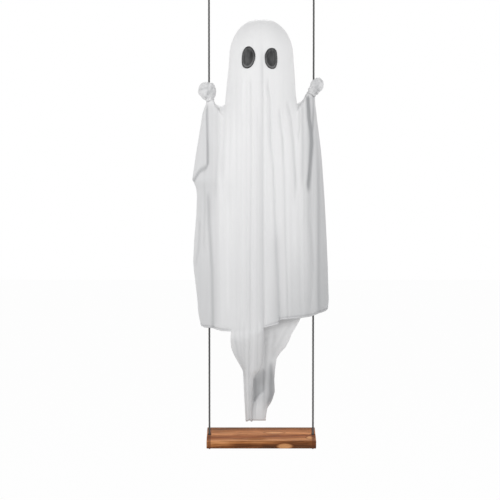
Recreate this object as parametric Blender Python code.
"""An animated hanging ghost on a two-rope swing.

X is to the right, Y away from the viewer and Z up. The origin is midway between the two hooks, on the
axis that the whole figure swings about. Lengths are in metres.
"""

import math

import bmesh
import bpy
import numpy as np
from mathutils import Matrix, Vector

for old in list(bpy.data.objects):
    bpy.data.objects.remove(old, do_unlink=True)

# Fits
seat_gap = 0.0003
running_gap = 0.0003
overrun = 0.006

# Ropes, their hooks and loops
rope_spacing = 0.286
rope_radius = 0.0025
hook_wire_radius = 0.0025
hook_ring_radius = 0.012
hook_shank_length = 0.012
hook_shank_radius = 0.0032
hook_flange_radius = 0.013
hook_flange_thickness = 0.003
loop_radius = 0.0105
loop_drop = 0.034
loop_lean = math.radians(18)
loop_waist_share = 1.08
ferrule_radius = 0.0055
ferrule_length = 0.016
knot_radius = 0.0078
knot_top_radius = 0.005
knot_length = 0.0135
knot_end_length = 0.0045
knot_end_radius = 0.00225
# Shares of the knot's radius and of its length, from its base up
knot_shares = [(0.70, 0.93), (1.0, 0.68), (0.86, 0.50), (1.0, 0.32)]

# Board
board_length = 0.300
board_depth = 0.100
board_thickness = 0.022
board_edge_radius = 0.0015
board_drop = 1.290
board_tilt = math.radians(13)

# Head
head_top_drop = 0.1375
head_centre_x = -0.002
crown_half_width = 0.0866
crown_height = 0.115
crown_power = 2.3
hood_seam_drop = 0.3045
neck_drop = 0.385
neck_half_width = 0.1018
head_depth_share = 0.9
shell_wall = 0.002
shell_bottom_drop = 0.301
shell_flange_width = 0.013
shell_flange_thickness = 0.004
plate_thickness = 0.003
head_screw_radius = 0.0017
head_screw_count = 3
head_screw_start = 0.21

# Eyes
eye_spacing = 0.0615
eye_centre_x = -0.0046
eye_drop = 0.2485
eye_half_width = 0.0182
eye_half_height = 0.031
eye_proud = 0.0012
eye_lens_thickness = 0.0045
led_radius = 0.005
led_length = 0.009
led_collar_radius = 0.0075
led_collar_length = 0.003

# Neck post
post_radius = 0.011
post_bore_radius = 0.008
post_flange_radius = 0.021
post_flange_thickness = 0.003

# Housing
housing_width = 0.112
housing_depth = 0.056
housing_top_drop = 0.420
housing_height = 0.110
housing_wall = 0.0022
housing_corner_radius = 0.006
housing_screw_radius = 0.0016
housing_screw_head_radius = 0.003
housing_screw_recess = 0.0014
housing_boss_radius = 0.0047
housing_boss_inset = 0.0110

# Batteries and their bay
cell_radius = 0.00725
cell_length = 0.0505
cell_pitch = 0.0156
cell_count = 3
contact_thickness = 0.0006
contact_height_margin = 0.001
bay_wall = 0.0016
bay_top_margin = 0.012
door_overlap = 0.003
door_thickness = 0.0018
door_rib_height = 0.0008
door_rib_width = 0.0016
door_rib_count = 5
rail_width = 0.0025
rail_lip = 0.002
rail_lip_thickness = 0.0014

# Circuit board and speaker
pcb_width = 0.076
pcb_height = 0.040
pcb_thickness = 0.0016
pcb_post_radius = 0.003
pcb_post_length = 0.008
pcb_top_margin = 0.008
chip_width = 0.012
chip_height = 0.012
chip_thickness = 0.002
speaker_radius = 0.0195
speaker_rim_height = 0.003
speaker_magnet_radius = 0.011
speaker_magnet_height = 0.006
speaker_bottom_margin = 0.007
grille_radius = 0.0166
grille_slot_width = 0.0024
grille_slot_pitch = 0.0058
grille_slot_count = 5

# Switch and button under the housing
control_spacing = 0.086
control_y = -0.014
switch_travel = 0.004
switch_knob_width = 0.004
switch_knob_depth = 0.003
switch_knob_drop = 0.003
switch_plate_margin = 0.003
switch_plate_thickness = 0.0015
button_radius = 0.0045
button_drop = 0.0035
button_bevel = 0.0009
button_flange_width = 0.002
button_flange_thickness = 0.0015

# Gear frame under the housing
frame_spacing = 0.060
frame_plate_thickness = 0.002
frame_half_depth = 0.026
frame_height = 0.110
frame_flange_width = 0.011
frame_corner_radius = 0.012
frame_window_radius = 0.0065
pillar_radius = 0.003
pillar_inset = 0.008

# Gears, all of one module
gear_module = 0.001
pinion_teeth = 10
wheel_teeth = 40
small_teeth = 12
sector_teeth = 60
sector_teeth_cut = 9
gear_width = 0.006
wheel_width = 0.005
gear_addendum = 0.85
gear_dedendum = 1.3
tooth_root_share = 0.30
tooth_tip_share = 0.105
layer_gap = 0.001
motor_shaft_radius = 0.001
motor_radius = 0.012
motor_length = 0.025
motor_boss_radius = 0.0045
motor_boss_length = 0.0015
idler_radius = 0.0015
wheel_web_radius = 0.0135
wheel_hole_radius = 0.0028
wheel_hole_count = 5

# Kicker
kicker_x = -0.0125
shaft_radius = 0.0025
shaft_overhang = 0.004
shaft_from_frame_bottom = 0.012
bushing_radius = 0.0045
bushing_flange_radius = 0.007
bushing_flange_thickness = 0.001
hub_radius = 0.008
hub_width = 0.012
arm_tube_radius = 0.0045
arm_end_share = 0.605
crossbar_half_height = 0.004
crossbar_half_depth = 0.0025
crossbar_collar_radius = 0.0085
weight_radius = 0.0125
weight_length = 0.050
weight_end_margin = 0.004
weight_bevel = 0.0019

# Arms and fists
arm_y = -0.0135
wire_radius = 0.0025
foam_radius = 0.0075
shoulder_drop = 0.446
shoulder_socket = 0.007
elbow_share = 0.45
wire_end_share = 0.97

# Cloth
cloth_thickness = 0.0015
panel_gap = 0.0008
gown_depth = 0.0916
gown_hem_depth = 0.096
wing_depth = 0.030
flap_reach = 0.0105
hem_drop = 0.990
right_hem_drop = 0.935
neck_squareness = 3.6
hem_squareness = 1.4
hem_rise_start = 0.0143
pleat_depth = 0.0024
pleat_count = 9
panel_edge_share = 0.56
tail_top_drop = 0.919
tail_bottom_drop = 1.240
tail_depth = 0.030
tail_bottom_depth = 0.014
tail_narrowed_share = 0.77
tail_fold_depth = 0.0018
tail_fold_count = 7

# Shares of the hem's drop below the neck, and of the half spacing of the ropes, along the gown's sides
left_edge_shares = [
    (-0.036, 1.063), (0.02, 1.140), (0.18, 1.215), (0.36, 1.237), (0.50, 1.270), (0.63, 1.312),
    (0.76, 1.262), (0.93, 1.225), (1.0, 1.170),
]
right_edge_shares = [
    (-0.065, 1.035), (0.02, 1.072), (0.18, 1.140), (0.325, 1.190), (0.50, 1.235), (0.63, 1.265),
    (0.88, 1.303), (1.0, 1.303),
]
# The left sleeve's folded flap: where it starts, its tip and where it is back, and its reach at each
flap_shares = [(0.05, 0.0), (0.325, 1.0), (0.365, 0.0)]
# Shares of the tail's length, and of the half spacing of the ropes, along its sides and its centre
tail_edge_shares = [
    (0.0, -0.620, 0.765), (0.20, -0.620, 0.650), (0.31, -0.594, 0.570), (0.41, -0.577, 0.418),
    (0.46, -0.543, 0.331), (0.545, -0.390, 0.264), (0.605, -0.341, 0.264), (0.75, -0.331, 0.254),
    (0.82, -0.331, 0.226), (0.89, -0.322, 0.140), (1.0, -0.303, 0.092),
]
# Shares of the neck's half width and of the neck's drop: where each sleeve's top meets the wrist
left_wrist_shares = {"inner": 1.277, "notch": 1.047, "wrist_drop": 0.943, "notch_drop": 1.0}
right_wrist_shares = {"inner": 1.098, "notch": 0.960, "wrist_drop": 0.8970, "notch_drop": 0.982}

rope_x = rope_spacing / 2
half_housing_width = housing_width / 2
half_housing_depth = housing_depth / 2
housing_top = -housing_top_drop
housing_bottom = housing_top - housing_height
frame_top = housing_bottom - seat_gap
frame_bottom = frame_top - frame_height
shaft_z = frame_bottom + shaft_from_frame_bottom
idler_z = shaft_z + gear_module * (sector_teeth + small_teeth) / 2
pinion_z = idler_z + gear_module * (wheel_teeth + pinion_teeth) / 2
shell_offset = cloth_thickness + 2 * seat_gap
loop_top = hook_wire_radius + seat_gap + rope_radius
ferrule_top = loop_top - loop_radius - loop_drop - seat_gap
rope_top = ferrule_top - ferrule_length - seat_gap
board_z = -board_drop
knot_top = (
    board_z
    - board_thickness / 2 / math.cos(board_tilt)
    - knot_top_radius * math.tan(board_tilt)
    - seat_gap
)
rope_bottom = knot_top + seat_gap
rope_hole_radius = (
    rope_radius / math.cos(board_tilt) + board_thickness / 2 * math.tan(board_tilt) + 2 * running_gap
)

round_sides = 24
small_sides = 16
tube_sides = 8
head_sides = 20
tail_columns = 20
sharp_angle = math.radians(32)


def material(name, colour, roughness, metallic=0.0):
    made = bpy.data.materials.new(name)
    made.use_nodes = True
    made.diffuse_color = (*colour, 1)
    shader = made.node_tree.nodes["Principled BSDF"]
    shader.inputs["Base Color"].default_value = (*colour, 1)
    shader.inputs["Roughness"].default_value = roughness
    shader.inputs["Metallic"].default_value = metallic
    return made


satin = material("white_satin", (0.86, 0.86, 0.87), 0.45)
rope_fibre = material("dark_rope", (0.07, 0.07, 0.07), 0.9)
steel = material("steel", (0.55, 0.55, 0.56), 0.3, 1.0)
brass = material("brass", (0.72, 0.55, 0.28), 0.3, 1.0)
stained_pine = material("stained_pine", (0.36, 0.16, 0.07), 0.6)
white_plastic = material("white_plastic", (0.8, 0.8, 0.78), 0.5)
black_plastic = material("black_plastic", (0.03, 0.03, 0.03), 0.45)
nylon = material("nylon_gear", (0.78, 0.76, 0.68), 0.45)
smoked_lens = material("smoked_lens", (0.045, 0.045, 0.05), 0.35)
led_plastic = material("led_plastic", (0.85, 0.87, 0.9), 0.2)
foam = material("grey_foam", (0.25, 0.25, 0.26), 0.95)
board_green = material("circuit_board_green", (0.03, 0.22, 0.09), 0.4)
cell_wrap = material("cell_wrap", (0.12, 0.13, 0.15), 0.35)

bodies = {}


def body(name, location=(0, 0, 0), tilt=0.0, parent=None):
    """An empty on the axis that the named body turns about or slides along."""
    empty = bpy.data.objects.new("axis_" + name, None)
    bpy.context.scene.collection.objects.link(empty)
    if parent:
        empty.parent = bodies[parent]
        empty.location = Vector(location) - bodies[parent].matrix_world.translation
    else:
        empty.location = location
    empty.rotation_euler = (tilt, 0, 0)
    bpy.context.view_layer.update()
    bodies[name] = empty


body("root")
body("swing", parent="root")
body("board", (0, 0, board_z), board_tilt, "swing")
body("tail", (0, 0, shaft_z), 0, "swing")
body("compound", (0, 0, idler_z), 0, "swing")
body("pinion", (0, 0, pinion_z), 0, "swing")


# Mesh makers: each returns a bmesh in world coordinates
def block(low, high):
    made = bmesh.new()
    bmesh.ops.create_cube(made, size=1)
    size = Vector(high) - Vector(low)
    middle = (Vector(high) + Vector(low)) / 2
    bmesh.ops.scale(made, vec=size, verts=made.verts)
    bmesh.ops.translate(made, vec=middle, verts=made.verts)
    return made


def rod(radius, start, end, sides=small_sides):
    start, end = Vector(start), Vector(end)
    made = bmesh.new()
    bmesh.ops.create_cone(
        made, cap_ends=True, segments=sides, radius1=radius, radius2=radius, depth=(end - start).length
    )
    turn = (end - start).to_track_quat("Z", "Y").to_matrix().to_4x4()
    bmesh.ops.transform(made, matrix=Matrix.Translation((start + end) / 2) @ turn, verts=made.verts)
    return made


def turned(profile, centre, axis=(0, 0, 1), sides=round_sides):
    """Revolves a profile of (radius, height) points, which runs bottom to top along its outer side."""
    made = bmesh.new()
    points = [made.verts.new((radius, 0, height)) for radius, height in profile]
    edges = [made.edges.new(pair) for pair in zip(points, points[1:])]
    if profile[0][0] > 0 or profile[-1][0] > 0:
        edges.append(made.edges.new((points[-1], points[0])))
    bmesh.ops.spin(
        made, geom=points + edges, cent=(0, 0, 0), axis=(0, 0, 1), angle=math.tau, steps=sides,
        use_merge=True, use_duplicate=False,
    )
    bmesh.ops.remove_doubles(made, verts=made.verts, dist=seat_gap / 10)
    bmesh.ops.recalc_face_normals(made, faces=made.faces)
    turn = Vector(axis).to_track_quat("Z", "Y").to_matrix().to_4x4()
    bmesh.ops.transform(made, matrix=Matrix.Translation(centre) @ turn, verts=made.verts)
    return made


def ring(centre, axis, radius, wire, around=small_sides, sides=tube_sides):
    profile = [
        (radius + wire * math.cos(math.tau * i / sides), wire * math.sin(math.tau * i / sides))
        for i in range(sides)
    ]
    return turned(profile, centre, axis, around)


def prism(outline, start, end, upright=False):
    """Extrudes a (y, z) outline along X from start to end, or an (x, y) outline along Z."""
    made = bmesh.new()
    face = made.faces.new([made.verts.new((start, y, z)) for y, z in outline])
    grown = bmesh.ops.extrude_face_region(made, geom=[face])
    moved = [item for item in grown["geom"] if isinstance(item, bmesh.types.BMVert)]
    bmesh.ops.translate(made, vec=(end - start, 0, 0), verts=moved)
    if upright:
        for vert in made.verts:
            vert.co = vert.co.yzx
    bmesh.ops.recalc_face_normals(made, faces=made.faces)
    return made


def smooth_route(points, steps):
    """Points read from a smooth curve (Catmull-Rom) through the route's own points."""
    route = [Vector(point) for point in points]
    padded = [2 * route[0] - route[1], *route, 2 * route[-1] - route[-2]]
    found = []
    for before, start, end, after in zip(padded, padded[1:], padded[2:], padded[3:]):
        for step in range(steps):
            t = step / steps
            found.append(
                0.5 * (2 * start + (end - before) * t + (2 * before - 5 * start + 4 * end - after) * t**2
                       + (3 * start - before - 3 * end + after) * t**3)
            )
    found.append(route[-1])
    return found


def stack_rings(made, rings):
    """Joins each ring of vertices to the next one with a band of faces."""
    count = len(rings[0])
    for low, high in zip(rings, rings[1:]):
        for i in range(count):
            j = (i + 1) % count
            made.faces.new((low[i], low[j], high[j], high[i]))


def swept(points, radius, bore=0.0, sides=tube_sides, stretch=slice(None)):
    """A tube along a stretch of a route, with flat ends and an optional bore."""
    made = bmesh.new()
    sideways = Vector((0, 1, 0))
    outer, inner = [], []
    for index in range(len(points))[stretch]:
        point = points[index]
        ahead = points[min(index + 1, len(points) - 1)] - points[max(index - 1, 0)]
        ahead.normalize()
        across = ahead.cross(sideways)
        if across.length < overrun:
            across = ahead.cross(Vector((1, 0, 0)))
        across.normalize()
        other = ahead.cross(across)
        for rings, size in ((outer, radius), (inner, bore)):
            rings.append([
                made.verts.new(point + size * (math.cos(turn) * across + math.sin(turn) * other))
                for turn in np.arange(sides) * math.tau / sides
            ] if size else [])
    for rings in (outer, inner):
        if rings[0]:
            stack_rings(made, rings)
    for end in (0, -1):
        if bore:
            for i in range(sides):
                j = (i + 1) % sides
                made.faces.new((outer[end][i], outer[end][j], inner[end][j], inner[end][i]))
        else:
            made.faces.new(outer[end])
    bmesh.ops.recalc_face_normals(made, faces=made.faces)
    return made


def as_object(name, made):
    mesh = bpy.data.meshes.new(name)
    made.to_mesh(mesh)
    made.free()
    thing = bpy.data.objects.new(name, mesh)
    bpy.context.scene.collection.objects.link(thing)
    return thing


def evaluated_mesh(thing):
    bpy.context.view_layer.update()
    graph = bpy.context.evaluated_depsgraph_get()
    return bpy.data.meshes.new_from_object(thing.evaluated_get(graph))


def combined(base, tools, operation):
    """The base solid with the tools joined to it, cut from it, or kept where they meet it."""
    thing = as_object("base", base)
    for tool in tools:
        cutter = as_object("tool", tool)
        change = thing.modifiers.new("change", "BOOLEAN")
        change.operation = operation
        change.solver = "EXACT"
        change.object = cutter
        mesh = evaluated_mesh(thing)
        thing.modifiers.clear()
        thing.data = mesh
        bpy.data.objects.remove(cutter, do_unlink=True)
    made = bmesh.new()
    made.from_mesh(thing.data)
    bpy.data.objects.remove(thing, do_unlink=True)
    return made


def joined(base, *tools):
    return combined(base, tools, "UNION")


def cut(base, *tools):
    return combined(base, tools, "DIFFERENCE")


def kept_within(base, *tools):
    return combined(base, tools, "INTERSECT")


def add_wall(thing):
    wall = thing.modifiers.new("cloth", "SOLIDIFY")
    wall.thickness = cloth_thickness
    wall.offset = -1
    wall.use_even_offset = True


def piece(name, made, finish, body_name="swing", local=False, cloth=False):
    """Gives the solid its name and material, and parents it to its body's axis."""
    axis = bodies[body_name]
    if not local:
        bmesh.ops.translate(made, vec=-axis.matrix_world.translation, verts=made.verts)
    thing = as_object(name, made)
    if cloth:
        add_wall(thing)
    thing.data.materials.append(finish)
    thing.data.shade_smooth()
    thing.data.set_sharp_from_angle(angle=sharp_angle)
    thing.parent = axis
    return thing


def mirrored(side):
    return "left" if side < 0 else "right"


# Hooks, ropes, loops, ferrules and knots
def make_hook(side):
    x = side * rope_x
    eye = ring((x, 0, hook_ring_radius), (0, 1, 0), hook_ring_radius, hook_wire_radius)
    eye_top = 2 * hook_ring_radius
    flange_base = eye_top + hook_shank_length
    flange_top = flange_base + hook_flange_thickness
    shank = rod(hook_shank_radius, (x, 0, eye_top), (x, 0, flange_base + hook_flange_thickness / 2))
    flange = rod(hook_flange_radius, (x, 0, flange_base), (x, 0, flange_top), round_sides)
    piece("hook_" + mirrored(side), joined(eye, shank, flange), steel, "root")


def loop_route(x):
    """Up one leg, over the hook's wire and down the other leg, in the plane across the swing's axis."""
    centre_z = loop_top - loop_radius
    foot_y = rope_radius + seat_gap
    foot_z = ferrule_top + seat_gap
    waist_y = foot_y * loop_waist_share
    turns = np.linspace(-loop_lean, math.pi + loop_lean, 11)
    over = [(x, loop_radius * math.cos(turn), centre_z + loop_radius * math.sin(turn)) for turn in turns]
    neck_z = foot_z + (centre_z - foot_z) / 4
    return smooth_route(
        [(x, foot_y, foot_z), (x, waist_y, neck_z), *over, (x, -waist_y, neck_z), (x, -foot_y, foot_z)], 1
    )


def make_rope(side):
    x = side * rope_x
    name = mirrored(side)
    piece("rope_loop_" + name, swept(loop_route(x), rope_radius), rope_fibre)
    crimp = ferrule_radius - rope_radius / 2
    pinch = ferrule_length / 4
    ferrule = turned(
        [(0, 0), (crimp, 0), (ferrule_radius, pinch), (crimp, 2 * pinch), (ferrule_radius, 3 * pinch),
         (crimp, ferrule_length), (0, ferrule_length)],
        (x, 0, ferrule_top - ferrule_length), sides=small_sides,
    )
    piece("rope_ferrule_" + name, ferrule, steel)
    piece("rope_" + name, rod(rope_radius, (x, 0, rope_bottom), (x, 0, rope_top), tube_sides), rope_fibre)
    knot_base = -knot_length - knot_end_length
    bulges = [(knot_radius * wide, -knot_length * down) for wide, down in knot_shares]
    knot = turned(
        [(0, knot_base), (knot_end_radius, knot_base), (knot_end_radius, -knot_length), *bulges,
         (knot_top_radius, 0), (0, 0)],
        (x, 0, knot_top), sides=12,
    )
    piece("rope_knot_" + name, knot, rope_fibre)


# Board, drilled for the ropes, which tips on them as far as the holes let it
def make_board():
    corner = Vector((board_length / 2, board_depth / 2, board_thickness / 2))
    plank = block(-corner, corner)
    bmesh.ops.bevel(
        plank, geom=plank.edges[:], offset=board_edge_radius, segments=2, affect="EDGES", profile=0.5
    )
    reach = board_thickness
    holes = [
        rod(rope_hole_radius, (side * rope_x, 0, -reach), (side * rope_x, 0, reach)) for side in (-1, 1)
    ]
    piece("swing_board", cut(plank, *holes), stained_pine, "board", local=True)


# Head: a blow-moulded dome, its neck plate, its lenses and lamps
def hood_half_width(drop):
    """Half width of the cloth over the head, at a drop below its top."""
    if drop < crown_height:
        return crown_half_width * math.sqrt(1 - (1 - drop / crown_height) ** crown_power)
    widened = (drop - crown_height) / (neck_drop - head_top_drop - crown_height)
    return crown_half_width + (neck_half_width - crown_half_width) * widened


def crown_profile(inset, bottom_drop, side_steps=2, crown_steps=7):
    """(radius, z) points from the bottom up to the top, inset from the outside of the cloth."""
    drops = [crown_height * (1 - math.cos(math.pi / 2 * i / crown_steps)) for i in range(crown_steps + 1)]
    full = bottom_drop - head_top_drop
    drops += [crown_height + (full - crown_height) * (i + 1) / side_steps for i in range(side_steps)]
    shrink = (full - inset) / full
    profile = [
        (max(hood_half_width(drop) - inset, 0) if drop else 0, -head_top_drop - inset - drop * shrink)
        for drop in drops
    ]
    return profile[::-1]


def head_solid(profile):
    made = turned(profile, (0, 0, 0), sides=head_sides)
    bmesh.ops.scale(made, vec=(1, head_depth_share, 1), verts=made.verts)
    bmesh.ops.translate(made, vec=(head_centre_x, 0, 0), verts=made.verts)
    return made


def solid_dome(inset, bottom_drop):
    profile = crown_profile(inset, bottom_drop)
    return head_solid([(0, profile[0][1]), *profile])


def eye_prism(side, margin):
    """An oval bar through the front of the head, at one eye."""
    centre_x = eye_centre_x + side * eye_spacing / 2
    made = bmesh.new()
    reach = neck_half_width
    bmesh.ops.create_cone(
        made, cap_ends=True, segments=round_sides, radius1=1, radius2=1, depth=reach
    )
    bmesh.ops.scale(made, vec=(eye_half_width + margin, eye_half_height + margin, 1), verts=made.verts)
    turn = Matrix.Rotation(math.pi / 2, 4, "X")
    place = Matrix.Translation((centre_x, -reach / 2 - led_length, -eye_drop))
    bmesh.ops.transform(made, matrix=place @ turn, verts=made.verts)
    return made


def make_head():
    outer = crown_profile(shell_offset, shell_bottom_drop)
    inner = crown_profile(shell_offset + shell_wall, shell_bottom_drop)[::-1]
    rim_radius, rim_z = outer[0]
    flange_top = rim_z + shell_flange_thickness
    mouth_radius = rim_radius - shell_wall - shell_flange_width
    inner = [point for point in inner if point[1] > flange_top]
    inner.append((rim_radius - shell_wall, flange_top))
    shell = head_solid([*outer, *inner, (mouth_radius, flange_top), (mouth_radius, rim_z)])
    screw_circle = rim_radius - shell_wall - shell_flange_width / 2
    screw_bore = head_screw_radius + seat_gap
    plate_top = rim_z - seat_gap
    plate_base = plate_top - plate_thickness
    spots = []
    for i in range(head_screw_count):
        turn = math.tau * (i + head_screw_start) / head_screw_count
        spots.append((
            head_centre_x + screw_circle * math.cos(turn), head_depth_share * screw_circle * math.sin(turn)
        ))
    holes = [
        rod(screw_bore, (x, y, plate_base - overrun), (x, y, flange_top + overrun), tube_sides)
        for x, y in spots
    ]
    shell = cut(shell, *[eye_prism(side, seat_gap) for side in (-1, 1)], *holes)
    piece("head_shell", shell, white_plastic)

    plate = head_solid([(post_bore_radius, plate_base), (rim_radius, plate_base), (rim_radius, plate_top),
                        (post_bore_radius, plate_top)])
    holes = [
        rod(screw_bore, (x, y, plate_base - overrun), (x, y, plate_top + overrun), tube_sides)
        for x, y in spots
    ]
    piece("head_plate", cut(plate, *holes), white_plastic)
    for side in (-1, 1):
        lens = kept_within(eye_prism(side, 0), solid_dome(-eye_proud, neck_drop))
        lens_back = shell_offset + shell_wall + eye_lens_thickness
        lens = cut(lens, solid_dome(lens_back, neck_drop))
        piece("eye_lens_" + mirrored(side), lens, smoked_lens)
        x = eye_centre_x + side * eye_spacing / 2
        front_y = -head_depth_share * (hood_half_width(eye_drop - head_top_drop) - lens_back)
        lamp = rod(led_radius, (x, front_y, -eye_drop), (x, front_y + led_length + overrun, -eye_drop), 12)
        lamp_end = front_y + led_length + overrun
        collar_start = lamp_end - led_collar_length
        collar = rod(led_collar_radius, (x, collar_start, -eye_drop), (x, lamp_end, -eye_drop), 12)
        lamp = kept_within(joined(lamp, collar), solid_dome(lens_back + seat_gap, neck_drop))
        piece("eye_led_" + mirrored(side), lamp, led_plastic)
    return plate_base


# Neck post between the head's plate and the housing
def make_post(plate_base):
    top = plate_base - seat_gap
    base = housing_top + seat_gap
    flange = post_flange_radius
    post = turned(
        [(post_bore_radius, base), (flange, base), (flange, base + post_flange_thickness),
         (post_radius, base + post_flange_thickness), (post_radius, top - post_flange_thickness),
         (flange, top - post_flange_thickness), (flange, top), (post_bore_radius, top)],
        (0, 0, 0), sides=small_sides,
    )
    piece("neck_post", post, steel)


# Housing halves with what they hold
def rounded_box(low, high, radius):
    made = block(low, high)
    upright = [edge for edge in made.edges if abs(edge.verts[0].co.z - edge.verts[1].co.z) > radius]
    bmesh.ops.bevel(made, geom=upright, offset=radius, segments=3, affect="EDGES", profile=0.5)
    return made


bay_half_width = cell_length / 2 + contact_thickness + 2 * seat_gap
bay_height = cell_pitch * (cell_count - 1) + 2 * cell_radius + 2 * seat_gap
bay_top = housing_top - bay_top_margin
bay_bottom = bay_top - bay_height
cell_y = half_housing_depth - housing_wall - cell_radius - seat_gap
bay_floor_y = cell_y - cell_radius - seat_gap
door_half_width = bay_half_width + door_overlap
door_top = bay_top + door_overlap
door_bottom = bay_bottom - door_overlap
housing_screw_spots = [
    (sx * (half_housing_width - housing_boss_inset), z)
    for sx in (-1, 1)
    for z in (housing_top - housing_boss_inset, housing_bottom + housing_boss_inset)
]


def housing_half(side):
    """Half of the box: side -1 is the front, 1 the back. The halves meet at the middle."""
    low = Vector((-half_housing_width, -half_housing_depth, housing_bottom))
    high = Vector((half_housing_width, half_housing_depth, housing_top))
    wall = Vector((housing_wall, housing_wall, housing_wall))
    outer = rounded_box(low, high, housing_corner_radius)
    inner = rounded_box(low + wall, high - wall, housing_corner_radius - housing_wall)
    far = housing_width
    edge = side * seat_gap / 2
    away = block((-far, min(edge, -side * far), -2 * far + housing_bottom),
                 (far, max(edge, -side * far), 2 * far + housing_top))
    half = cut(outer, inner, away)
    wall_y = side * (half_housing_depth - housing_wall / 2)
    bosses = [rod(housing_boss_radius, (x, edge, z), (x, wall_y, z), 12) for x, z in housing_screw_spots]
    return joined(half, *bosses)


def screw_bores(radius, head_radius):
    """Cutters for the case screws, which enter from the back."""
    floor = -half_housing_depth + 2 * housing_wall
    seat = half_housing_depth - housing_screw_recess
    outside = half_housing_depth + overrun
    for x, z in housing_screw_spots:
        steps = [(radius, floor), (radius, seat), (head_radius, seat), (head_radius, outside)]
        yield turned([(0, floor), *steps, (0, outside)], (x, 0, z), (0, 1, 0), 12)


def shoulder_bores():
    for side in (-1, 1):
        inside = side * (half_housing_width - shoulder_socket)
        yield rod(
            wire_radius + seat_gap, (inside, arm_y, -shoulder_drop),
            (side * (half_housing_width + overrun), arm_y, -shoulder_drop), 12,
        )


def shoulder_bosses():
    for side in (-1, 1):
        inside = side * (half_housing_width - shoulder_socket)
        wall_x = side * (half_housing_width - housing_wall / 2)
        yield rod(housing_boss_radius, (inside, arm_y, -shoulder_drop), (wall_x, arm_y, -shoulder_drop), 12)


def slot_box(x, width, y, depth):
    return block((x - width / 2, y - depth / 2, housing_bottom - overrun),
                 (x + width / 2, y + depth / 2, housing_bottom + housing_wall + overrun / 2))


switch_x = -control_spacing / 2
button_x = control_spacing / 2
speaker_z = housing_bottom + housing_wall + speaker_bottom_margin + speaker_radius
pcb_top = housing_top - housing_wall - pcb_top_margin
pcb_z = pcb_top - pcb_height / 2
pcb_post_spots = [
    (sx * (pcb_width / 2 - 2 * pcb_post_radius), pcb_z + sz * (pcb_height / 2 - 2 * pcb_post_radius))
    for sx in (-1, 1) for sz in (-1, 1)
]


def make_housing():
    front_wall = -half_housing_depth + housing_wall
    post_end = front_wall + pcb_post_length
    front = joined(
        housing_half(-1), *shoulder_bosses(),
        *[rod(pcb_post_radius, (x, front_wall - housing_wall / 2, z), (x, post_end, z), 12)
          for x, z in pcb_post_spots],
    )
    slots = []
    for i in range(grille_slot_count):
        z = speaker_z + (i - (grille_slot_count - 1) / 2) * grille_slot_pitch
        half_length = math.sqrt(max(grille_radius**2 - (z - speaker_z) ** 2, grille_slot_width**2))
        slots.append(block((-half_length, -half_housing_depth - overrun, z - grille_slot_width / 2),
                           (half_length, front_wall + overrun / 4, z + grille_slot_width / 2)))
    switch_slot = slot_box(
        switch_x, switch_knob_width + switch_travel + 2 * running_gap, control_y,
        switch_knob_depth + 2 * running_gap,
    )
    button_hole = rod(
        button_radius + running_gap, (button_x, control_y, housing_bottom - overrun),
        (button_x, control_y, housing_bottom + housing_wall + overrun / 2),
    )
    front = cut(front, *slots, switch_slot, button_hole, *shoulder_bores(),
                *screw_bores(housing_screw_radius, housing_screw_head_radius))
    piece("housing_front", front, black_plastic)

    bay = block((-bay_half_width - bay_wall, bay_floor_y - bay_wall, bay_bottom - bay_wall),
                (bay_half_width + bay_wall, half_housing_depth - housing_wall / 2, bay_top + bay_wall))
    hollow = block((-bay_half_width, bay_floor_y, bay_bottom),
                   (bay_half_width, half_housing_depth + overrun, bay_top))
    back = cut(joined(housing_half(1), bay), hollow,
               *screw_bores(housing_screw_radius + seat_gap, housing_screw_head_radius + seat_gap))
    rails = []
    root_y = half_housing_depth - housing_wall / 2
    lip_y = half_housing_depth + 2 * seat_gap + door_thickness
    for side in (-1, 1):
        near = door_half_width + running_gap
        far, lip = side * (near + rail_width), side * (near - rail_lip)
        near *= side
        outline = [(near, root_y), (far, root_y), (far, lip_y + rail_lip_thickness),
                   (lip, lip_y + rail_lip_thickness), (lip, lip_y), (near, lip_y)]
        rails.append(prism(outline, door_bottom, door_top, upright=True))
    piece("housing_back", joined(back, *rails), black_plastic)


def make_electrics():
    for i in range(cell_count):
        z = bay_top - seat_gap - cell_radius - i * cell_pitch
        way = 1 if i % 2 else -1
        tip_start = way * (cell_length / 2 - cell_radius / 4)
        can = rod(cell_radius, (-way * cell_length / 2, cell_y, z), (tip_start, cell_y, z), 20)
        tip = rod(cell_radius / 3, (0, cell_y, z), (way * cell_length / 2, cell_y, z), 12)
        piece(f"battery_cell_{i + 1}", joined(can, tip), cell_wrap)
    for side in (-1, 1):
        near = cell_length / 2 + seat_gap
        xs = sorted((side * near, side * (near + contact_thickness)))
        contact = block((xs[0], cell_y - cell_radius, bay_bottom + contact_height_margin),
                        (xs[1], cell_y + cell_radius, bay_top - contact_height_margin))
        piece("battery_contact_" + mirrored(side), contact, brass)

    near_y = -half_housing_depth + housing_wall + pcb_post_length + seat_gap
    board = block((-pcb_width / 2, near_y, pcb_z - pcb_height / 2),
                  (pcb_width / 2, near_y + pcb_thickness, pcb_z + pcb_height / 2))
    chip = block((-chip_width / 2, near_y + pcb_thickness / 2, pcb_z - chip_height / 2),
                 (chip_width / 2, near_y + pcb_thickness + chip_thickness, pcb_z + chip_height / 2))
    piece("circuit_board", joined(board, chip), board_green)

    rim_y = -half_housing_depth + housing_wall + seat_gap
    cone = speaker_rim_height
    magnet_end = rim_y + 2 * cone + speaker_magnet_height
    speaker = turned(
        [(0, rim_y + cone), (speaker_magnet_radius, rim_y + cone / 2), (speaker_radius - cone / 2, rim_y),
         (speaker_radius, rim_y), (speaker_radius, rim_y + cone), (speaker_magnet_radius, rim_y + 2 * cone),
         (speaker_magnet_radius, magnet_end), (0, magnet_end)],
        (0, 0, speaker_z), (0, 1, 0),
    )
    piece("speaker", speaker, steel)


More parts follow.
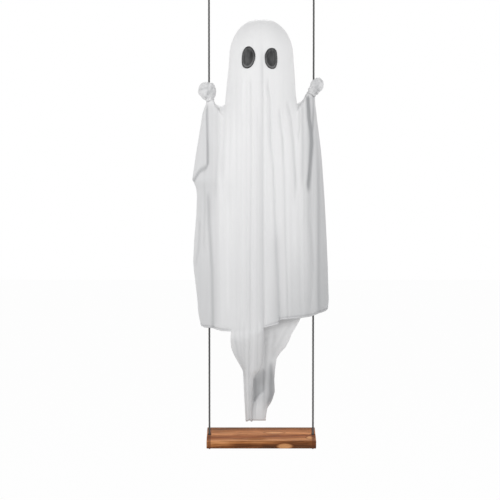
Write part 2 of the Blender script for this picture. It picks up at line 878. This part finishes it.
def make_controls():
    body("door", (0, half_housing_depth, door_top), 0, "swing")
    body("switch", (switch_x, control_y, housing_bottom), 0, "swing")
    body("button", (button_x, control_y, housing_bottom), 0, "swing")
    near_y = half_housing_depth + seat_gap
    door = block(
        (-door_half_width, near_y, door_bottom), (door_half_width, near_y + door_thickness, door_top)
    )
    ribs = []
    rib_half_length = door_half_width / 3
    for i in range(door_rib_count):
        z = door_bottom + (i + 2) * 2 * door_rib_width
        ribs.append(block((-rib_half_length, near_y + door_thickness / 2, z),
                          (rib_half_length, near_y + door_thickness + door_rib_height, z + door_rib_width)))
    piece("battery_door", joined(door, *ribs), black_plastic, "door")

    plate_base = housing_bottom + housing_wall + seat_gap
    reach = switch_knob_width / 2 + switch_plate_margin
    knob_x = switch_x - switch_travel / 2
    plate = block((knob_x - reach, control_y - reach, plate_base),
                  (knob_x + reach, control_y + reach, plate_base + switch_plate_thickness))
    half_knob = switch_knob_width / 2
    knob = block(
        (knob_x - half_knob, control_y - switch_knob_depth / 2, housing_bottom - switch_knob_drop),
        (knob_x + half_knob, control_y + switch_knob_depth / 2, plate_base + switch_plate_thickness / 2),
    )
    piece("power_switch", joined(plate, knob), nylon, "switch")

    flange = button_radius + button_flange_width
    face = housing_bottom - button_drop
    button = turned(
        [(0, face), (button_radius - button_bevel, face), (button_radius, face + button_bevel),
         (button_radius, plate_base), (flange, plate_base),
         (flange, plate_base + button_flange_thickness), (0, plate_base + button_flange_thickness)],
        (button_x, control_y, 0), sides=small_sides,
    )
    piece("try_me_button", button, nylon, "button")


# Gear frame
def tooth_outline(teeth, first, count, gap_first=False):
    """(y, z) points of teeth on a circle about the origin, counted round from the angle first."""
    pitch = math.tau / teeth
    radius = gear_module * teeth / 2
    root = radius - gear_dedendum * gear_module
    tip = radius + gear_addendum * gear_module
    points = []
    for i in range(count):
        middle = first + i * pitch + (pitch / 2 if gap_first else 0)
        for size, share in ((root, -tooth_root_share), (tip, -tooth_tip_share), (tip, tooth_tip_share),
                            (root, tooth_root_share)):
            points.append((size * math.cos(middle + share * pitch), size * math.sin(middle + share * pitch)))
    return points


def shifted(outline, z):
    return [(y, height + z) for y, height in outline]


half_frame = frame_spacing / 2
plate_inner_x = half_frame - frame_plate_thickness / 2
hub_left = kicker_x - hub_width / 2
hub_right = kicker_x + hub_width / 2
sector_left = hub_right + layer_gap
sector_right = sector_left + gear_width
wheel_left = sector_right + layer_gap
wheel_right = wheel_left + wheel_width


def make_frame():
    pillar_y = frame_half_depth - pillar_inset
    pillar_z = frame_bottom + pillar_inset
    rounded = []
    corner_steps = 4
    for side in (1, -1):
        centre_y = side * (frame_half_depth - frame_corner_radius)
        centre_z = frame_bottom + frame_corner_radius
        arc = [
            (centre_y + side * frame_corner_radius * math.cos(turn),
             centre_z + frame_corner_radius * math.sin(turn))
            for turn in np.linspace(0, -math.pi / 2, corner_steps + 1)
        ]
        rounded += arc if side > 0 else arc[::-1]
    outline = [(frame_half_depth, frame_top), *rounded, (-frame_half_depth, frame_top)]
    for side in (-1, 1):
        inner, outer = side * plate_inner_x, side * (plate_inner_x + frame_plate_thickness)
        flat = prism(outline, inner, outer)
        flange_end = side * (plate_inner_x + frame_plate_thickness - frame_flange_width)
        xs = sorted((flange_end, outer))
        flange = block((xs[0], -frame_half_depth, frame_top - frame_plate_thickness),
                       (xs[1], frame_half_depth, frame_top))
        past = (side * (plate_inner_x - overrun), side * (plate_inner_x + frame_plate_thickness + overrun))

        def hole(radius, y, z):
            return rod(radius, (past[0], y, z), (past[1], y, z), 12)

        holes = [
            hole(bushing_radius + seat_gap, 0, shaft_z),
            hole(idler_radius + seat_gap, 0, idler_z),
            hole(motor_boss_radius + seat_gap, 0, pinion_z),
        ]
        for lean in (-1, 1):
            holes.append(hole(frame_window_radius, lean * (frame_half_depth / 2 + pillar_radius), idler_z))
        piece("gear_plate_" + mirrored(side), cut(joined(flat, flange), *holes), steel)
    inner_length = plate_inner_x - seat_gap
    for name, y in (("front", -pillar_y), ("rear", pillar_y)):
        pillar = rod(pillar_radius, (-inner_length, y, pillar_z), (inner_length, y, pillar_z), 12)
        piece("frame_pillar_" + name, pillar, steel)


def make_drive():
    plate_outer = plate_inner_x + frame_plate_thickness
    motor_face = plate_outer + seat_gap
    can = rod(motor_radius, (motor_face, 0, pinion_z), (motor_face + motor_length, 0, pinion_z), round_sides)
    boss = rod(motor_boss_radius, (motor_face - motor_boss_length, 0, pinion_z),
               (motor_face + motor_boss_length, 0, pinion_z), small_sides)
    shaft_end = motor_face + motor_length / 3
    bore = rod(motor_shaft_radius + running_gap, (motor_face - overrun, 0, pinion_z),
               (shaft_end + running_gap, 0, pinion_z), 12)
    piece("motor", cut(joined(can, boss), bore), steel)

    wheel_middle = (wheel_left + wheel_right) / 2
    rim = tooth_outline(pinion_teeth, -math.pi / 2, pinion_teeth)
    pinion = prism(shifted(rim, pinion_z), wheel_left, wheel_right)
    pinion_shaft = rod(motor_shaft_radius, (wheel_middle, 0, pinion_z),
                       (shaft_end, 0, pinion_z), tube_sides)
    piece("motor_pinion", joined(pinion, pinion_shaft), brass, "pinion")

    rim = tooth_outline(wheel_teeth, math.pi / 2, wheel_teeth, True)
    wheel = prism(shifted(rim, idler_z), wheel_left, wheel_right)
    rim = tooth_outline(small_teeth, -math.pi / 2, small_teeth, True)
    small = prism(shifted(rim, idler_z), sector_left, wheel_middle)
    past = wheel_right + overrun
    holes = [rod(idler_radius + running_gap, (sector_left - overrun, 0, idler_z), (past, 0, idler_z))]
    for i in range(wheel_hole_count):
        turn = math.tau * i / wheel_hole_count
        y = wheel_web_radius * math.cos(turn)
        z = idler_z + wheel_web_radius * math.sin(turn)
        holes.append(rod(wheel_hole_radius, (wheel_left - overrun, y, z), (past, y, z), tube_sides))
    piece("compound_gear", cut(joined(wheel, small), *holes), nylon, "compound")
    axle_reach = plate_outer + seat_gap
    piece("idler_axle", rod(idler_radius, (-axle_reach, 0, idler_z), (axle_reach, 0, idler_z), 12), steel)


# Kicker: shaft, sector, arm, crossbar and weight, which turn together
def shaft_bore():
    left, right = hub_left - overrun, sector_right + overrun
    return rod(shaft_radius + seat_gap, (left, 0, shaft_z), (right, 0, shaft_z))


def make_kicker():
    plate_outer = plate_inner_x + frame_plate_thickness
    reach = plate_outer + shaft_overhang
    piece("kicker_shaft", rod(shaft_radius, (-reach, 0, shaft_z), (reach, 0, shaft_z)), steel, "tail")
    for side in (-1, 1):
        start = side * (plate_inner_x - seat_gap - bushing_flange_thickness)
        seat = side * (plate_inner_x - seat_gap)
        end = side * plate_outer
        sleeve = joined(
            rod(bushing_flange_radius, (start, 0, shaft_z), (seat, 0, shaft_z), 12),
            rod(bushing_radius, (start, 0, shaft_z), (end, 0, shaft_z), 12),
        )
        past = side * overrun
        bore = rod(shaft_radius + running_gap, (start - past, 0, shaft_z), (end + past, 0, shaft_z), 12)
        piece("kicker_bushing_" + mirrored(side), cut(sleeve, bore), brass)

    pitch = math.tau / sector_teeth
    spread = (sector_teeth_cut - 1) / 2
    first = math.pi / 2 - spread * pitch
    rim = tooth_outline(sector_teeth, first, sector_teeth_cut)
    fan_side = hub_radius * math.sin(math.pi / 3)
    fan_foot = hub_radius * math.cos(math.pi / 3)
    fan = [(fan_side, -fan_foot), (fan_side, fan_foot), *rim, (-fan_side, fan_foot), (-fan_side, -fan_foot)]
    sector = joined(
        prism(shifted(fan, shaft_z), sector_left, sector_right),
        rod(hub_radius, (sector_left - layer_gap + seat_gap, 0, shaft_z), (sector_right, 0, shaft_z), 20),
    )
    piece("sector_gear", cut(sector, shaft_bore()), nylon, "tail")

    arm_end = -(tail_top_drop + (tail_bottom_drop - tail_top_drop) * arm_end_share)
    arm = joined(
        rod(hub_radius, (hub_left, 0, shaft_z), (hub_right, 0, shaft_z), 20),
        rod(arm_tube_radius, (kicker_x, 0, arm_end), (kicker_x, 0, shaft_z - hub_radius / 2), 12),
    )
    piece("kicker_arm", cut(arm, shaft_bore()), steel, "tail")

    bar_z = -tail_top_drop - cloth_thickness - seat_gap - crossbar_half_height
    left, right = tail_sides(tail_share(bar_z))
    inset = cloth_thickness + crossbar_half_depth + tail_fold_depth
    bar = block((left + inset, -crossbar_half_depth, bar_z - crossbar_half_height),
                (right - inset, crossbar_half_depth, bar_z + crossbar_half_height))
    collar = rod(crossbar_collar_radius, (kicker_x, 0, bar_z - 2 * crossbar_half_height),
                 (kicker_x, 0, bar_z + crossbar_half_height), 20)
    bore = rod(arm_tube_radius + seat_gap, (kicker_x, 0, bar_z - 4 * crossbar_half_height),
               (kicker_x, 0, bar_z + 4 * crossbar_half_height), 12)
    piece("tail_crossbar", cut(joined(bar, collar), bore), black_plastic, "tail")

    weight_base = arm_end + weight_end_margin
    weight = turned(
        [(arm_tube_radius + seat_gap, weight_base), (weight_radius - weight_bevel, weight_base),
         (weight_radius, weight_base + weight_bevel), (weight_radius, weight_base + weight_length),
         (arm_tube_radius + seat_gap, weight_base + weight_length)],
        (kicker_x, 0, 0), sides=small_sides,
    )
    piece("tail_weight", weight, steel, "tail")


# Arms, fists and the ties at the wrists
fist_sizes = {
    "left": {"centre": (-0.149, -0.007, -0.333), "radius": 0.0242, "wrist": (-0.141, arm_y, -0.3585),
             "neck": 0.0075},
    "right": {"centre": (0.1485, -0.007, -0.3175), "radius": 0.0218, "wrist": (0.1305, arm_y, -0.3405),
              "neck": 0.0075},
}
fist_profile_shares = [(0.0, 1.0), (0.10, 0.94), (0.22, 1.0), (0.34, 1.35), (0.46, 1.85)]
fist_folds = 7
fist_fold_depth = 0.0011
tie_wire = 0.0013
wire_in_fist_share = 0.62


def fist_axis(sizes):
    wrist, centre = Vector(sizes["wrist"]), Vector(sizes["centre"])
    return wrist, centre, (centre - wrist).normalized()


def make_fist(name):
    """A stuffed ball of cloth gathered at the wrist, bored for its rope and for the arm's wire."""
    sizes = fist_sizes[name]
    wrist, centre, axis = fist_axis(sizes)
    reach = (centre - wrist).length
    radius = sizes["radius"]
    profile = [(sizes["neck"] * wide, reach * along) for along, wide in fist_profile_shares]
    join = math.asin(min(profile[-1][0] / radius, 1)) if profile[-1][0] < radius else math.pi / 2
    for turn in np.linspace(-math.pi / 2 + join, math.pi / 2, 7):
        profile.append((max(radius * math.cos(turn), 0), reach + radius * math.sin(turn)))
    heights = sorted(profile, key=lambda point: point[1])
    heights[-1] = (0, heights[-1][1])
    ball = turned([(0, 0), *heights], (0, 0, 0), sides=16)
    for vert in ball.verts:
        flat = Vector((vert.co.x, vert.co.y, 0))
        if flat.length > fist_fold_depth:
            turn = math.atan2(flat.y, flat.x)
            ripple = fist_fold_depth * math.sin(fist_folds * turn + 2 * vert.co.z / radius)
            vert.co -= flat.normalized() * (fist_fold_depth + ripple) / 2
    turn = axis.to_track_quat("Z", "Y").to_matrix().to_4x4()
    bmesh.ops.transform(ball, matrix=Matrix.Translation(wrist) @ turn, verts=ball.verts)
    side = -1 if name == "left" else 1
    rope_bore = rod(rope_radius + seat_gap, (side * rope_x, 0, centre.z - 2 * radius),
                    (side * rope_x, 0, centre.z + 2 * radius))
    wire_bore = swept(wire_route(name, 1.0), wire_radius + seat_gap, sides=12)
    piece("fist_" + name, cut(ball, rope_bore, wire_bore), satin)
    tie_at = wrist + axis * reach * fist_profile_shares[1][0]
    tie_radius = sizes["neck"] * fist_profile_shares[1][1] + tie_wire + seat_gap
    piece("wrist_tie_" + name, ring(tie_at, axis, tie_radius, tie_wire, 14, 6), satin)


def wire_route(name, share):
    """The arm's wire, from its socket in the housing's side up into the fist."""
    side = -1 if name == "left" else 1
    wrist, centre, axis = fist_axis(fist_sizes[name])
    socket_x = half_housing_width - shoulder_socket + seat_gap
    bend_x = half_housing_width + 2 * foam_radius
    elbow = Vector((side * bend_x, arm_y, -shoulder_drop)).lerp(wrist, elbow_share)
    elbow.z -= foam_radius / 2
    inside = wrist + (centre - wrist) * wire_in_fist_share * share
    inside.y = arm_y
    return smooth_route(
        [(side * socket_x, arm_y, -shoulder_drop), (side * half_housing_width, arm_y, -shoulder_drop),
         (side * (half_housing_width + foam_radius), arm_y, -shoulder_drop + wire_radius / 2),
         tuple(elbow), tuple(wrist - axis * foam_radius), tuple(wrist), tuple(inside)],
        2,
    )


def make_arm(name):
    route = wire_route(name, wire_end_share)
    piece("arm_wire_" + name, swept(route, wire_radius), steel)
    sleeve = swept(route, foam_radius, wire_radius + 2 * seat_gap, 12, slice(3, len(route) - 5))
    piece("arm_foam_" + name, sleeve, foam)


# Cloth
def level_share(z):
    """0 at the neck, 1 at the left hem."""
    return (-z - neck_drop) / (hem_drop - neck_drop)


def side_x(shares, share):
    places, widths = zip(*shares)
    return rope_x * float(np.interp(share, places, widths))


def gown_point(turn, z):
    """A point of the gown at a level: turn 0 is the right side, and 3/4 of a turn is the front."""
    share = level_share(z)
    shares = right_edge_shares if math.cos(turn) > 0 else left_edge_shares
    half_width = side_x(shares, share)
    depth = gown_depth + (gown_hem_depth - gown_depth) * min(max(share, 0), 1)
    squareness = neck_squareness + (hem_squareness - neck_squareness) * min(max(share, 0), 1)
    lift = abs(math.sin(turn))
    x = half_width * math.cos(turn)
    if x < 0:
        places, reaches = zip(*flap_shares)
        x -= flap_reach * float(np.interp(share, places, reaches)) * math.cos(turn) ** 8
    y = wing_depth * math.sqrt(lift) + (depth - wing_depth) * lift**squareness
    pleat = pleat_depth * math.cos(math.tau * pleat_count * (math.cos(turn) + 1) / 2) * lift
    return Vector((x, math.copysign(y + pleat, math.sin(turn)), z))


def sleeve_top(x):
    """The cloth's upper edge: level at the neck, up a slope to each wrist."""
    shares = left_wrist_shares if x < 0 else right_wrist_shares
    notch, inner = shares["notch"] * neck_half_width, shares["inner"] * neck_half_width
    rise = min(max((abs(x) - notch) / (inner - notch), 0), 1)
    start = shares["notch_drop"] * neck_drop + seat_gap
    if abs(x) < notch:
        return -neck_drop - seat_gap
    return -(start + (shares["wrist_drop"] * neck_drop - start) * rise)


def hem_z(x):
    """The left half hangs level, and the right one rises from the centre to its corner."""
    right_half = rope_x * right_edge_shares[-1][1]
    rise = min(max((x - hem_rise_start) / (right_half - hem_rise_start), 0), 1)
    return -hem_drop + (hem_drop - right_hem_drop) * rise


def walled(made):
    """The cloth with its thickness, which goes inward."""
    thing = as_object("cloth_form", made)
    add_wall(thing)
    mesh = evaluated_mesh(thing)
    bpy.data.objects.remove(thing, do_unlink=True)
    grown = bmesh.new()
    grown.from_mesh(mesh)
    return grown


def cloth_grid(columns, rows, point_at):
    made = bmesh.new()
    grid = [[made.verts.new(point_at(column, row)) for row in rows] for column in columns]
    for near, far in zip(grid, grid[1:]):
        for i in range(len(rows) - 1):
            made.faces.new((near[i], far[i], far[i + 1], near[i + 1]))
    return made


def gown_panel(name, start, end, columns):
    """One panel of the gown, between two turns round it."""

    def point_at(turn, share):
        middle = gown_point(turn, -(neck_drop + hem_drop) / 2).x
        top, bottom = sleeve_top(middle), hem_z(middle)
        return gown_point(turn, top + (bottom - top) * share)

    made = cloth_grid(np.linspace(start, end, columns), np.linspace(0, 1, 9), point_at)
    middle_turn = (start + end) / 2
    outward = Vector((math.cos(middle_turn), math.sin(middle_turn), 0))
    bmesh.ops.recalc_face_normals(made, faces=made.faces)
    facing = sum((face.normal * face.calc_area() for face in made.faces), Vector())
    if facing.dot(outward) < 0:
        bmesh.ops.reverse_faces(made, faces=made.faces)
    piece(name, made, satin, cloth=True)


def make_gown():
    edge = math.acos(panel_edge_share)
    gap = panel_gap / 2 / rope_x
    gown_panel("drape_right", -edge + gap, edge - gap, 15)
    gown_panel("gown_back", edge + gap, math.pi - edge - gap, 19)
    gown_panel("drape_left", math.pi - edge + gap, math.pi + edge - gap, 15)
    gown_panel("gown_front", math.pi + edge + gap, math.tau - edge - gap, 37)


def hood_rings(made, profile):
    turns = np.arange(head_sides) * math.tau / head_sides
    return [
        [made.verts.new((head_centre_x + radius * math.cos(turn), head_depth_share * radius * math.sin(turn), z))
         for turn in turns]
        for radius, z in profile
    ]


def make_hood():
    """The gown's cloth over the head, cut out round the lenses, and the skirt sewn on below it."""
    made = bmesh.new()
    profile = crown_profile(0, hood_seam_drop - panel_gap / 2)
    rings = hood_rings(made, profile[:-1])
    stack_rings(made, rings)
    top = made.verts.new((head_centre_x, 0, profile[-1][1]))
    for i in range(head_sides):
        made.faces.new((rings[-1][i], rings[-1][(i + 1) % head_sides], top))
    piece("hood", cut(walled(made), *[eye_prism(side, seat_gap) for side in (-1, 1)]), satin)

    skirt = bmesh.new()
    drops = np.linspace(neck_drop, hood_seam_drop + panel_gap / 2, 3) - head_top_drop
    stack_rings(skirt, hood_rings(skirt, [(hood_half_width(drop), -head_top_drop - drop) for drop in drops]))
    piece("hood_skirt", skirt, satin, cloth=True)


def tail_share(z):
    return (-z - tail_top_drop) / (tail_bottom_drop - tail_top_drop)


def tail_sides(share):
    places, lefts, rights = zip(*tail_edge_shares)
    return rope_x * float(np.interp(share, places, lefts)), rope_x * float(np.interp(share, places, rights))


def make_tail():
    """A tapering sleeve of cloth, closed over the crossbar and open at its foot."""
    made = bmesh.new()
    rings = []
    for share, _, _ in tail_edge_shares:
        left, right = tail_sides(share)
        depth = tail_depth + (tail_bottom_depth - tail_depth) * min(share / tail_narrowed_share, 1)
        z = -(tail_top_drop + (tail_bottom_drop - tail_top_drop) * share)
        ring_points = []
        for turn in np.arange(tail_columns) * math.tau / tail_columns:
            fold = tail_fold_depth * math.cos(tail_fold_count * turn) * min(share / tail_narrowed_share, 1)
            across = (left + right) / 2 + (right - left) / 2 * math.cos(turn)
            ring_points.append(made.verts.new((across, (depth + fold) * math.sin(turn), z)))
        rings.append(ring_points)
    stack_rings(made, rings)
    made.faces.new(rings[0])
    bmesh.ops.recalc_face_normals(made, faces=made.faces)
    facing = sum((face.normal.dot(face.calc_center_median() - Vector((0, 0, -tail_top_drop - tail_depth)))
                  * face.calc_area() for face in made.faces), 0.0)
    if facing < 0:
        bmesh.ops.reverse_faces(made, faces=made.faces)
    hole = rod(arm_tube_radius + seat_gap, (kicker_x, 0, -tail_top_drop - overrun),
               (kicker_x, 0, -tail_top_drop + overrun), 12)
    piece("tail_cloth", cut(walled(made), hole), satin, "tail")


for rope_side in (-1, 1):
    make_hook(rope_side)
    make_rope(rope_side)
make_board()
make_post(make_head())
make_housing()
make_electrics()
make_controls()
make_frame()
make_drive()
make_kicker()
for hand in ("left", "right"):
    make_fist(hand)
    make_arm(hand)
make_hood()
make_gown()
make_tail()
print("pieces:", sum(1 for thing in bpy.data.objects if thing.type == "MESH"))
